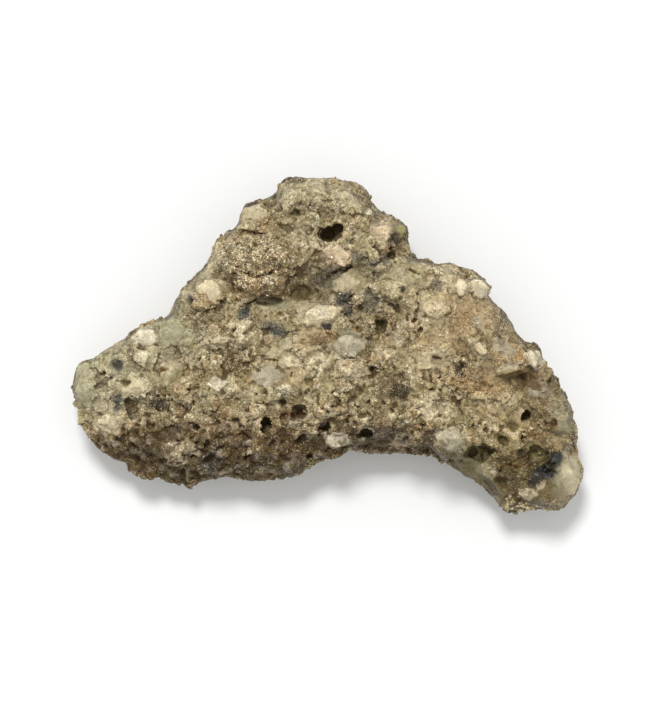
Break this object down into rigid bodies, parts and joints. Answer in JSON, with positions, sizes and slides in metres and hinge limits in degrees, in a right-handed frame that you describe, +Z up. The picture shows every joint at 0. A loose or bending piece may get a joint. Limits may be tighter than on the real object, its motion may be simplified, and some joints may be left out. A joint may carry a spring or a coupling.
{
  "type": "trinitite",
  "caption": "Rough fragment of sand fused to pale green glass, with a sandy crust, pits, mineral grains and a smoother bubbly underside.",
  "frame": {"origin": "middle of the bounding box, at the surface that the fragment rests on", "axes": "+X along the fragment's length, from the pale green end to the hooked end; +Y towards the blunt knob; +Z up, out of the sandy side"},
  "size_m": [0.04, 0.0262, 0.0094],
  "materials": {
    "fused_sand": "dull, grainy crust of half-melted sand over pale green glass"
  },
  "bodies": {
    "root": {"trinitite": "fused_sand"}
  },
  "joints": []
}
